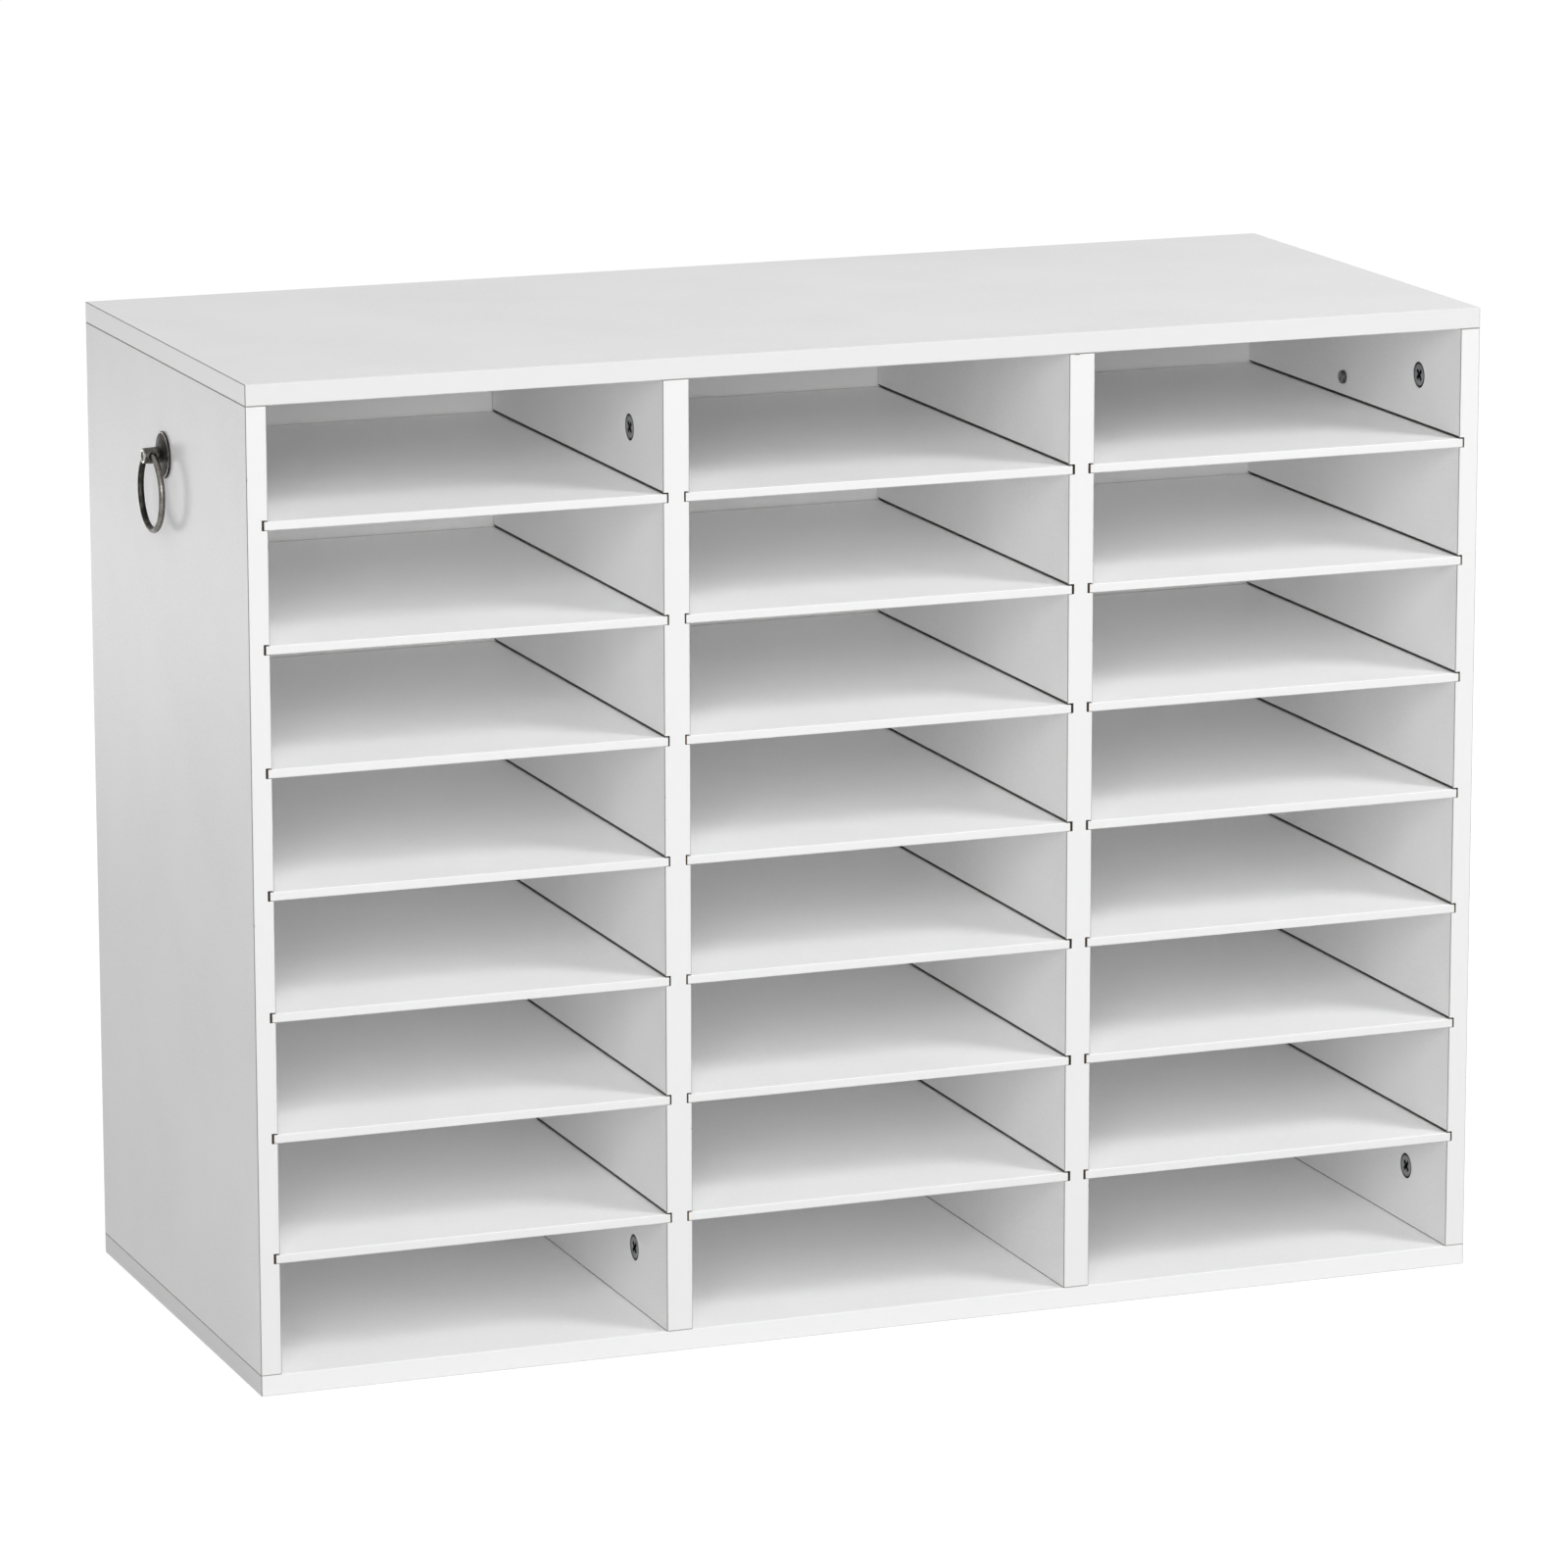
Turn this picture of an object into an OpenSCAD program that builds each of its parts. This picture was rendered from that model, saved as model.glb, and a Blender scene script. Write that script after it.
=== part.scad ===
// Literature organizer: a white board carcass with three columns of paper
// compartments, shelves that slide in grooves and a ring pull on each side.
// X runs to the right, Y to the rear and Z up. The origin is on the surface
// it stands on, under the middle of the carcass.

/* [Carcass] */
// Width over the side panels
overall_w = 740; // [600:1:900]
// Depth of the top and bottom panels, front edge to rear edge
overall_d = 314; // [270:1:400]
// Height over the top and bottom panels
overall_h = 570; // [480:1:720]
// Thickness of the two side panels
side_t = 12; // [12:0.5:19]
// Thickness of the top and bottom panels
deck_t = 12; // [12:0.5:19]
// Thickness of the two dividers
divider_t = 15.5; // [15:0.5:19]
// Chamfer scraped along the outer board edges
board_ease = 0.4; // [0.2:0.1:0.8]

/* [Shelves] */
// Compartments one above another in each column
rows = 8; // [6:1:9]
// Thickness of a shelf
shelf_t = 5; // [3:0.5:6]
// Depth of the shelf grooves in the panels and dividers
groove_d = 3.2; // [2.5:0.1:4]
// Free height over a shelf in its groove
groove_play = 0.8; // [0.3:0.1:1]
// Free height under a shelf in its groove
shelf_seat = 0.1; // [0.05:0.05:0.2]
// Gap between each end of a shelf and the bottom of its groove
shelf_end_gap = 0.8; // [0.3:0.1:1]
// Gap between a shelf and the back panel
shelf_rear_gap = 0.5; // [0.3:0.1:2]
// Rounding along the ends of a shelf
shelf_end_r = 0.8; // [0.4:0.1:1.2]
// Chamfer along the front edge of a shelf
shelf_ease = 0.4; // [0.2:0.1:0.8]

/* [Back panel] */
// Thickness of the hardboard back
back_t = 3; // [2.5:0.5:5]
// Distance from the rear edge of the carcass in to the back
back_inset = 18; // [8:0.5:30]
// Depth of the groove that holds the back
back_groove_d = 3.5; // [2.5:0.1:5]
// Free width of that groove beyond the thickness of the back
back_play = 0.2; // [0.1:0.1:0.6]
// Gap between the edge of the back and the bottom of its groove
back_edge_gap = 0.5; // [0.3:0.1:1]
// Gap between the dividers and the back
divider_rear_gap = 0.3; // [0.1:0.1:1]

/* [Cam locks] */
// Diameter of a cam lock
cam_d = 15; // [12:0.5:16]
// Distance of a cam lock from the end of its board
cam_setback = 35; // [24:0.5:36]
// Distance of a cam lock from the front or rear edge
cam_inset = 55; // [40:0.5:70]
// Board left behind the pocket of a cam lock
cam_web = 2.5; // [1.5:0.1:3]
// Radial gap round a cam lock in its pocket
cam_play = 0.2; // [0.05:0.05:0.3]
// Depth of a cam lock's face below the board
cam_sunk = 0.3; // [0.1:0.1:0.5]
// Length across the cross recess for the screwdriver
cam_cross_l = 7.2; // [6:0.1:10]
// Width of the arms of the cross recess
cam_cross_w = 1.5; // [1:0.1:2.2]
// Depth of the cross recess
cam_cross_deep = 1.8; // [1:0.1:2]

/* [Cam bolts] */
// Diameter of the thread that bites in the top or bottom panel
bolt_thread_d = 6; // [5:0.5:7]
// Length of that thread
bolt_thread_l = 9; // [7:0.5:9.5]
// Diameter of the collar that stops against the panel
bolt_collar_d = 7; // [6:0.5:7.5]
// Length of the collar
bolt_collar_l = 3; // [2:0.5:6]
// Diameter of the neck
bolt_neck_d = 4; // [3:0.5:4.5]
// Diameter of the head that the cam lock draws in
bolt_head_d = 6; // [5:0.5:6.5]
// Length of that head
bolt_head_l = 2.5; // [1.5:0.5:3]
// Distance from the centre of the cam lock to the shoulder of the head
bolt_shoulder = 4.2; // [3.5:0.1:4.4]
// Gap between a cam lock and the bolt inside it
bolt_play = 0.3; // [0.2:0.1:0.5]
// Diameter of the bore that a bolt passes in the end of a board
bolt_bore_d = 7.6; // [7.5:0.1:8]

/* [Dowels] */
// Diameter of a dowel
dowel_d = 6; // [5:0.5:8]
// Length of a dowel
dowel_l = 26; // [20:1:35]
// Length of a dowel that sits in the top or bottom panel
dowel_in_deck = 8; // [6:0.5:9]
// Distance from a dowel to the nearer cam bolt
dowel_pitch = 32; // [24:1:40]
// Chamfer at the ends of a dowel
dowel_ease = 0.8; // [0.4:0.1:1.2]
// Radial gap round a dowel, and free depth past its end
dowel_play = 0.05; // [0.02:0.01:0.1]

/* [Ring pulls] */
// Height of the ring pull's screw above the first shelf
pull_rise = 12; // [8:0.5:24]
// Diameter of the rose
rose_d = 26.4; // [20:0.1:32]
// Thickness of the rim of the rose
rose_rim_t = 1.6; // [1:0.1:2.5]
// Width of the flat rim round the dome of the rose
rose_rim_w = 1.2; // [0.8:0.1:3]
// Rise of the dome above the rim
rose_dome_h = 2.6; // [1:0.1:3]
// Diameter of the post
post_d = 9; // [8:0.1:12]
// Length of the post, from the side panel to its end
post_l = 12.8; // [12.2:0.1:20]
// Chamfer round the end of the post
post_ease = 0.5; // [0.2:0.1:1]
// Diameter of the dimple in the end of the post
dimple_d = 5; // [3:0.1:6]
// Depth of that dimple
dimple_deep = 0.7; // [0.3:0.1:1]
// Distance from the side panel to the middle of the ring
ring_reach = 8; // [7.8:0.1:9]
// Outside diameter of the ring
ring_d = 46; // [36:0.5:60]
// Diameter of the ring's wire
wire_d = 3.6; // [3:0.1:4]
// Radial gap between the wire and its hole in the post
ring_play = 0.3; // [0.2:0.05:0.5]

/* [Pull screws] */
// Diameter of the screw's shank
screw_d = 4; // [3:0.1:4.5]
// Radial gap round the shank in the side panel
screw_play = 0.25; // [0.1:0.05:0.5]
// Length of thread in the post
screw_bite = 4.8; // [3:0.1:4.9]
// Diameter of the pan head
screw_head_d = 8; // [6:0.1:9]
// Height of the pan head
screw_head_h = 2.6; // [2:0.1:3.5]
// Rounding at the rim of the pan head
screw_head_r = 1.4; // [0.5:0.1:1.8]
// Length across the cross recess in the head
screw_cross_l = 4.4; // [3:0.1:5]
// Width of the arms of that recess
screw_cross_w = 1; // [0.6:0.1:1.2]
// Depth of that recess
screw_cross_deep = 1.5; // [1:0.1:1.8]

/* [Hidden] */
column_names = ["left", "middle", "right"];
columns = len(column_names);
last_row = rows - 1;
function shelf_name(c, r) = str("shelf_", column_names[c], "_", r);
upright_names = ["left_side_panel", "left_divider", "right_divider", "right_side_panel"];
cam_names = ["left_side_cams", "left_divider_cams", "right_divider_cams", "right_side_cams"];
deck_names = ["bottom_panel", "top_panel"];
bolt_names = ["bottom_cam_bolts", "top_cam_bolts"];
dowel_names = ["bottom_dowels", "top_dowels"];
hand_names = ["left", "right"];

$fn = 64;
board_white = [0.93, 0.93, 0.92];
shelf_white = [0.97, 0.97, 0.96];
hardboard_white = [0.9, 0.9, 0.89];
zinc_grey = [0.62, 0.63, 0.65];
steel_grey = [0.7, 0.7, 0.72];
pewter_grey = [0.33, 0.32, 0.31];
beech = [0.82, 0.68, 0.5];

// How far a cutting shape runs past the face that it cuts
overrun = 1;

front_y = -overall_d / 2;
rear_y = overall_d / 2;
back_rear_y = rear_y - back_inset;
back_front_y = back_rear_y - back_t;
inner_h = overall_h - 2 * deck_t;
row_h = (inner_h - last_row * shelf_t) / rows;
column_w = (overall_w - 2 * side_t - 2 * divider_t) / columns;
// Half the width of the groove for the back, from one side panel to the other
back_reach_x = overall_w / 2 - side_t + back_groove_d;

// The four uprights, from the left: side, divider, divider, side
upright_t = [side_t, divider_t, divider_t, side_t];
divider_x = (column_w + divider_t) / 2;
side_x = (overall_w - side_t) / 2;
upright_x = [-side_x, -divider_x, divider_x, side_x];
divider_d = back_front_y - divider_rear_gap - front_y;
upright_d = [overall_d, divider_d, divider_d, overall_d];
// The faces of each upright that look into a column
upright_faces = [[1], [-1, 1], [-1, 1], [-1]];
// The face that the cam locks of each upright are set in
cam_face = [1, -1, 1, -1];

cam_ys = [front_y + cam_inset, rear_y - cam_inset];
dowel_ys = [front_y + cam_inset + dowel_pitch, rear_y - cam_inset - dowel_pitch];
cam_head_r = norm([bolt_shoulder, bolt_head_d / 2]) + bolt_play;

wire_r = wire_d / 2;
ring_r = ring_d / 2 - wire_r;
// How far the ring's centre line bows across the width of the post
ring_bow = ring_r - sqrt(pow(ring_r, 2) - pow(post_d / 2, 2));
ring_hole_d = wire_d + ring_bow + 2 * ring_play;
dome_r = rose_d / 2 - rose_rim_w;
dome_ball_r = (pow(dome_r, 2) + pow(rose_dome_h, 2)) / (2 * rose_dome_h);
pull_z = shelf_z(1) + shelf_t + pull_rise;

function column_x(c) = (c - (columns - 1) / 2) * (column_w + divider_t);
// Underside of shelf r, counted down from the top of the carcass
function shelf_z(r) = overall_h - deck_t - r * (row_h + shelf_t);
// Outline of a rectangle whose corners are cut at 45 degrees
function eased_outline(a, b, e) =
    [[e, 0], [a - e, 0], [a, e], [a, b - e], [a - e, b], [e, b], [0, b - e], [0, e]];

// Draws its child at one end of the carcass: the base, or turned over at the top
module at_deck(top) {
    if (top) {
        translate([0, 0, overall_h]) mirror([0, 0, 1]) children();
    } else {
        children();
    }
}

// Draws its child on the left side of the carcass or mirrored on the right
module on_hand(right) {
    mirror([right ? 1 : 0, 0, 0]) children();
}

// A flat bar along Y whose long edges are round
module round_edged_bar(w, d, h, r) {
    translate([0, d, 0]) rotate([90, 0, 0]) linear_extrude(height = d) {
        translate([r, 0]) square([w - 2 * r, h]);
        translate([0, r]) square([w, h - 2 * r]);
        for (x = [r, w - r]) for (z = [r, h - r]) translate([x, z]) circle(r = r);
    }
}

// Two crossed slots for a screwdriver, sunk from z = 0 downwards
module cross_recess(across, arm_w, deep) {
    for (turn = [0, 90]) rotate(turn) {
        translate([-across / 2, -arm_w / 2, -deep]) cube([across, arm_w, deep + overrun]);
    }
}

// The top and bottom panels: eased on all edges, with blind holes for the
// bolts and dowels and a groove for the back
module deck_board() {
    difference() {
        translate([-overall_w / 2, front_y, 0]) intersection() {
            linear_extrude(height = deck_t)
                polygon(eased_outline(overall_w, overall_d, board_ease));
            translate([0, overall_d, 0]) rotate([90, 0, 0])
                linear_extrude(height = overall_d)
                    polygon(eased_outline(overall_w, deck_t, board_ease));
            rotate([90, 0, 90])
                linear_extrude(height = overall_w)
                    polygon(eased_outline(overall_d, deck_t, board_ease));
        }
        for (x = upright_x) {
            for (y = cam_ys) translate([x, y, deck_t - bolt_thread_l - bolt_play])
                cylinder(d = bolt_thread_d, h = bolt_thread_l + bolt_play + overrun);
            for (y = dowel_ys) translate([x, y, deck_t - dowel_in_deck - dowel_play])
                cylinder(r = dowel_d / 2 + dowel_play, h = dowel_in_deck + dowel_play + overrun);
        }
        translate([-back_reach_x, back_front_y - back_play / 2, deck_t - back_groove_d])
            cube([2 * back_reach_x, back_t + back_play, back_groove_d + overrun]);
    }
}

// A groove cut deep into the face of upright i that looks to side s
module face_groove(i, s, deep, y, long, z, high) {
    translate([upright_x[i] + s * upright_t[i] / 2, y, z])
        mirror([s > 0 ? 0 : 1, 0, 0])
            translate([-deep, 0, 0]) cube([deep + overrun, long, high]);
}

// One groove for each shelf in the face of an upright that looks to side s
module shelf_grooves(i, s) {
    for (r = [1 : last_row])
        face_groove(i, s, groove_d,
                    front_y - overrun, back_front_y - front_y + overrun,
                    shelf_z(r) - shelf_seat, shelf_seat + shelf_t + groove_play);
}

// Pockets for the cam locks, bores for their bolts, and dowel holes, at one
// end of an upright
module end_borings(i) {
    pocket_deep = upright_t[i] - cam_web;
    for (y = cam_ys) {
        translate([upright_x[i] + cam_face[i] * (upright_t[i] / 2 + overrun), y,
                   deck_t + cam_setback])
            rotate([0, -cam_face[i] * 90, 0])
                cylinder(r = cam_d / 2 + cam_play, h = pocket_deep + overrun);
        translate([upright_x[i], y, deck_t - overrun])
            cylinder(d = bolt_bore_d, h = cam_setback + overrun);
    }
    dowel_deep = dowel_l - dowel_in_deck + dowel_play;
    for (y = dowel_ys)
        translate([upright_x[i], y, deck_t - overrun])
            cylinder(r = dowel_d / 2 + dowel_play, h = dowel_deep + overrun);
}

// A side panel or a divider
module upright(i) {
    is_side = i == 0 || i == len(upright_x) - 1;
    color(board_white) difference() {
        translate([upright_x[i] - upright_t[i] / 2, front_y, deck_t])
            linear_extrude(height = inner_h)
                polygon(eased_outline(upright_t[i], upright_d[i], board_ease));
        for (s = upright_faces[i]) shelf_grooves(i, s);
        for (top = [false, true]) at_deck(top) end_borings(i);
        if (is_side) {
            face_groove(i, cam_face[i], back_groove_d,
                        back_front_y - back_play / 2, back_t + back_play,
                        deck_t - overrun, inner_h + 2 * overrun);
            translate([upright_x[i] - side_t / 2 - overrun, 0, pull_z])
                rotate([0, 90, 0])
                    cylinder(r = screw_d / 2 + screw_play, h = side_t + 2 * overrun);
        }
    }
}

// The hardboard back, painted white in front and held in grooves all round
module back_panel() {
    edge = back_groove_d - back_edge_gap;
    half_w = back_reach_x - back_edge_gap;
    color(hardboard_white)
        translate([-half_w, back_front_y, deck_t - edge])
            cube([2 * half_w, back_t, inner_h + 2 * edge]);
}

// A shelf with round ends that run in the grooves and an eased front edge
module shelf(c, r) {
    shelf_w = column_w + 2 * (groove_d - shelf_end_gap);
    shelf_d = back_front_y - shelf_rear_gap - front_y;
    front_outline = [[0, shelf_ease], [shelf_ease, 0], [shelf_d, 0], [shelf_d, shelf_t],
                     [shelf_ease, shelf_t], [0, shelf_t - shelf_ease]];
    color(shelf_white)
        translate([column_x(c) - shelf_w / 2, front_y, shelf_z(r)]) intersection() {
            round_edged_bar(shelf_w, shelf_d, shelf_t, shelf_end_r);
            rotate([90, 0, 90]) linear_extrude(height = shelf_w) polygon(front_outline);
        }
}

// One cam lock, its face at z = 0 and its body below. A lip, cut away where
// the bolt's neck comes in, holds the head in the hollow underside.
module cam_lock(long, axis_deep) {
    slot = bolt_neck_d / 2 + bolt_play;
    hollow_top = axis_deep - bolt_head_d / 2 - bolt_play;
    difference() {
        translate([0, 0, -long]) cylinder(d = cam_d, h = long);
        rotate(45) cross_recess(cam_cross_l, cam_cross_w, cam_cross_deep);
        translate([0, 0, -long - overrun])
            cylinder(r = cam_head_r, h = long - hollow_top + overrun);
        translate([0, 0, -axis_deep - slot])
            rotate_extrude(angle = 90)
                square([cam_d / 2 + overrun, 2 * slot]);
        translate([-slot, 0, -axis_deep - slot])
            cube([slot, cam_d / 2 + overrun, 2 * slot]);
        translate([0, -bolt_head_d / 2 - bolt_play, -long - overrun])
            cube([cam_d / 2 + overrun, bolt_head_d + 2 * bolt_play,
                  long - hollow_top + overrun]);
    }
}

// The four cam locks of one upright
module cam_locks(i) {
    long = upright_t[i] - cam_web - cam_sunk;
    face_x = upright_x[i] + cam_face[i] * (upright_t[i] / 2 - cam_sunk);
    color(zinc_grey)
        for (top = [false, true]) at_deck(top)
            for (y = cam_ys)
                translate([face_x, y, deck_t + cam_setback])
                    rotate([0, cam_face[i] * 90, 0])
                        rotate(-90 * cam_face[i])
                            cam_lock(long, upright_t[i] / 2 - cam_sunk);
}

// The eight bolts that screw in one deck and end in the cam locks
module cam_bolts(top) {
    head_end = cam_setback - bolt_shoulder;
    color(steel_grey)
        at_deck(top)
            for (x = upright_x) for (y = cam_ys)
                translate([x, y, deck_t]) {
                    translate([0, 0, -bolt_thread_l])
                        cylinder(d = bolt_thread_d, h = bolt_thread_l);
                    cylinder(d = bolt_collar_d, h = bolt_collar_l);
                    cylinder(d = bolt_neck_d, h = head_end + bolt_head_l);
                    translate([0, 0, head_end])
                        cylinder(d = bolt_head_d, h = bolt_head_l);
                }
}

// The eight dowels that line the uprights up with one deck
module dowels(top) {
    straight = dowel_l - 2 * dowel_ease;
    color(beech)
        at_deck(top)
            for (x = upright_x) for (y = dowel_ys)
                translate([x, y, deck_t - dowel_in_deck]) {
                    cylinder(d1 = dowel_d - 2 * dowel_ease, d2 = dowel_d, h = dowel_ease);
                    translate([0, 0, dowel_ease]) cylinder(d = dowel_d, h = straight);
                    translate([0, 0, dowel_ease + straight])
                        cylinder(d1 = dowel_d, d2 = dowel_d - 2 * dowel_ease, h = dowel_ease);
                }
}

// Half section of the rose and its post, with the axis along the second axis
module rose_section() {
    rim_r = rose_rim_t / 2;
    square([rose_d / 2 - rim_r, rose_rim_t]);
    translate([rose_d / 2 - rim_r, rim_r]) intersection() {
        circle(r = rim_r);
        translate([0, -rim_r]) square([rim_r, rose_rim_t]);
    }
    intersection() {
        translate([0, rose_rim_t + rose_dome_h - dome_ball_r]) circle(r = dome_ball_r);
        square([dome_r, rose_rim_t + rose_dome_h]);
    }
    polygon([[0, 0], [post_d / 2, 0], [post_d / 2, post_l - post_ease],
             [post_d / 2 - post_ease, post_l], [0, post_l]]);
}

// Puts its child, which stands up along Z, on the left side panel's pull place
module at_pull() {
    translate([-overall_w / 2, 0, pull_z]) rotate([0, -90, 0]) children();
}

// The cast rose and post, cross drilled for the ring and bored for its screw
module pull_rose(right) {
    color(pewter_grey) on_hand(right) at_pull() difference() {
        rotate_extrude() rose_section();
        translate([0, 0, -overrun]) cylinder(d = screw_d, h = screw_bite + bolt_play + overrun);
        translate([0, 0, post_l - dimple_deep])
            cylinder(d1 = dimple_d - 2 * dimple_deep, d2 = dimple_d, h = dimple_deep);
        translate([0, post_d, ring_reach]) rotate([90, 0, 0])
            cylinder(d = ring_hole_d, h = 2 * post_d);
    }
}

// The wire ring, closed through the post
module pull_ring(right) {
    color(pewter_grey) on_hand(right)
        translate([-overall_w / 2 - ring_reach, 0, pull_z + ring_bow / 2 - ring_r])
            rotate([0, 90, 0]) rotate_extrude() translate([ring_r, 0]) circle(d = wire_d);
}

// Half section of a pan head, its bearing face at 0
module pan_head_section() {
    square([screw_head_d / 2, screw_head_h - screw_head_r]);
    square([screw_head_d / 2 - screw_head_r, screw_head_h]);
    translate([screw_head_d / 2 - screw_head_r, screw_head_h - screw_head_r])
        intersection() {
            circle(r = screw_head_r);
            square([screw_head_r, screw_head_r]);
        }
}

// The screw that holds a rose, put in from inside the carcass
module pull_screw(right) {
    color(steel_grey) on_hand(right) at_pull() difference() {
        union() {
            translate([0, 0, -side_t]) cylinder(d = screw_d, h = side_t + screw_bite);
            translate([0, 0, -side_t]) mirror([0, 0, 1])
                rotate_extrude() pan_head_section();
        }
        translate([0, 0, -side_t - screw_head_h]) mirror([0, 0, 1])
            cross_recess(screw_cross_l, screw_cross_w, screw_cross_deep);
    }
}

for (k = [0, 1]) color(board_white) at_deck(k == 1) deck_board();
for (i = [0 : len(upright_names) - 1])
    upright(i);
back_panel();
for (c = [0 : columns - 1]) for (r = [1 : last_row])
    shelf(c, r);
for (i = [0 : len(cam_names) - 1])
    cam_locks(i);
for (k = [0, 1]) cam_bolts(k == 1);
for (k = [0, 1]) dowels(k == 1);
for (k = [0, 1]) {
    pull_rose(k == 1);
    pull_ring(k == 1);
    pull_screw(k == 1);
}
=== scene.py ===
"""Literature organizer: a white board carcass with three columns of paper compartments,
shelves that slide in grooves and a ring pull on each side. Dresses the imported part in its
finishes. Lengths are in metres in the part's own frame, and small ones millimetres times MM.
"""

import math

import bmesh
import bpy
from mathutils import Matrix, Vector


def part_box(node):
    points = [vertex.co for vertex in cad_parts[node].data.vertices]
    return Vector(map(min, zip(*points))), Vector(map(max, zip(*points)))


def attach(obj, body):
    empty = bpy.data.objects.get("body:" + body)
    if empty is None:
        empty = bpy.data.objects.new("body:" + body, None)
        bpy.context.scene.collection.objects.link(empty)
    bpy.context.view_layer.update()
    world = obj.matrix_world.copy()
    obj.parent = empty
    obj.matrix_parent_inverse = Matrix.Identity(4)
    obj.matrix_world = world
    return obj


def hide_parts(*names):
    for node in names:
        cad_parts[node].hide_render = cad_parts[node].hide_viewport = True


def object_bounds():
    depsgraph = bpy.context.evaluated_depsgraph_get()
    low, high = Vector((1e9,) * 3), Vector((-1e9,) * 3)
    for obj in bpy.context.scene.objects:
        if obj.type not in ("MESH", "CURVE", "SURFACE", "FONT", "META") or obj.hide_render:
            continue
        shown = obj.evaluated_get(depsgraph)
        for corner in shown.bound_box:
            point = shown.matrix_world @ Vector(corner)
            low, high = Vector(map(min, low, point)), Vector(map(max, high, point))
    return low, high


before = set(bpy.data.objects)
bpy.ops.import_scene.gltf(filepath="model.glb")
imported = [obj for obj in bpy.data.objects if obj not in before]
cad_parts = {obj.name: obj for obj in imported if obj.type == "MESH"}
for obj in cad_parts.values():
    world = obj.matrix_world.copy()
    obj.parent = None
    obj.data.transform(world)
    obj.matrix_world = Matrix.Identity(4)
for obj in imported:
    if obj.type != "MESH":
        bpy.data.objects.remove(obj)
cad_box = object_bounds()

# The camera. A long lens stands well back to the left of the front, a little above the
# top panel, as the photograph's view of the front, the left side and the top asks.

camera_lens = 175.93
camera_place = Vector((-1.558, -4.080, 1.253))
camera_turn = math.radians(20.92)
camera_dip = math.radians(12.47)
camera_roll = math.radians(-0.09)
light_bounces = 24

camera = bpy.data.objects.new("camera", bpy.data.cameras.new("camera"))
camera.data.lens = camera_lens
camera.matrix_world = (
    Matrix.Translation(camera_place)
    @ Matrix.Rotation(-camera_turn, 4, "Z")
    @ Matrix.Rotation(math.pi / 2 - camera_dip, 4, "X")
    @ Matrix.Rotation(camera_roll, 4, "Z")
)
bpy.context.scene.collection.objects.link(camera)
bpy.context.scene.camera = camera
bpy.context.scene.view_settings.view_transform = "Standard"

# Light reaches the backs of the white compartments only after many bounces.
bpy.context.scene.cycles.max_bounces = light_bounces
bpy.context.scene.cycles.diffuse_bounces = light_bounces

# The studio: a matt white paper sweep under a soft white room. A large softbox stands at
# the right and in front, a weaker one at the left, and a low one grazes the left side.

MM = 0.001
paper_white = "#C4C4C4"
paper_shaded = "#959595"
paper_lift = 0.86
room_light = 0.47
sweep_half = 30.0
sweep_gap = 0.2 * MM
middle = (cad_box[0] + cad_box[1]) / 2
right_place = middle + Vector((2.0, -2.1, 2.05))
left_place = middle + Vector((-1.4, -3.05, 1.1))
grazing_place = Vector((-0.80, 1.15, 0.22))
grazed_place = Vector((-0.378, 0, 0.48))


def linear(colour):
    """Turns an sRGB hex colour into the linear one that a shader takes."""
    parts = [int(colour[i : i + 2], 16) / 255 for i in (1, 3, 5)]
    return [c / 12.92 if c <= 0.04045 else ((c + 0.055) / 1.055) ** 2.4 for c in parts] + [1.0]


def add(tree, kind, inputs=None, **settings):
    """Adds a node to a tree. Each input is a value, or a socket that it is linked to."""
    node = tree.nodes.new("ShaderNode" + kind)
    for name, value in settings.items():
        setattr(node, name, value)
    for name, value in (inputs or {}).items():
        if isinstance(value, bpy.types.NodeSocket):
            tree.links.new(value, node.inputs[name])
        else:
            node.inputs[name].default_value = value
    return node


def finished(name, surface):
    """A new material whose tree holds only its output, linked to what surface(tree) returns."""
    material = bpy.data.materials.new(name)
    material.use_nodes = True
    tree = material.node_tree
    tree.nodes.clear()
    shader = surface(tree)
    add(tree, "OutputMaterial", {"Surface": shader.outputs[0]})
    return material


def mesh_of(name, bm):
    """A mesh made from the bmesh, which is freed."""
    mesh = bpy.data.meshes.new(name)
    bm.to_mesh(mesh)
    bm.free()
    return mesh


def seen_directly(tree):
    """A socket that is 1 for what the camera sees, also in gloss and through glass."""
    rays = add(tree, "LightPath").outputs
    camera_or_gloss = add(tree, "Math", {0: rays["Is Camera Ray"], 1: rays["Is Glossy Ray"]},
                          operation="MAXIMUM")
    return add(tree, "Math", {0: camera_or_gloss.outputs[0], 1: rays["Is Transmission Ray"]},
               operation="MAXIMUM").outputs[0]


world = bpy.data.worlds.new("soft white room")
bpy.context.scene.world = world
world.use_nodes = True
room = world.node_tree
room.nodes.clear()
glow = add(room, "Background", {"Color": (1, 1, 1, 1), "Strength": room_light})
backdrop = add(room, "Background", {"Color": (1, 1, 1, 1), "Strength": 1.0})
room_mix = add(room, "MixShader", {0: seen_directly(room), 1: glow.outputs[0], 2: backdrop.outputs[0]})
add(room, "OutputWorld", {"Surface": room_mix.outputs[0]})


def lifted_paper(tree):
    """Matt paper. Seen directly it is lifted to white, and still darkens where it is shaded."""
    matt = add(tree, "BsdfDiffuse", {"Color": linear(paper_white)})
    shaded = add(tree, "BsdfDiffuse", {"Color": linear(paper_shaded)})
    lifted = add(tree, "Emission", {"Color": (1, 1, 1, 1), "Strength": paper_lift})
    lift = add(tree, "AddShader", {0: shaded.outputs[0], 1: lifted.outputs[0]})
    return add(tree, "MixShader", {0: seen_directly(tree), 1: matt.outputs[0], 2: lift.outputs[0]})


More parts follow.
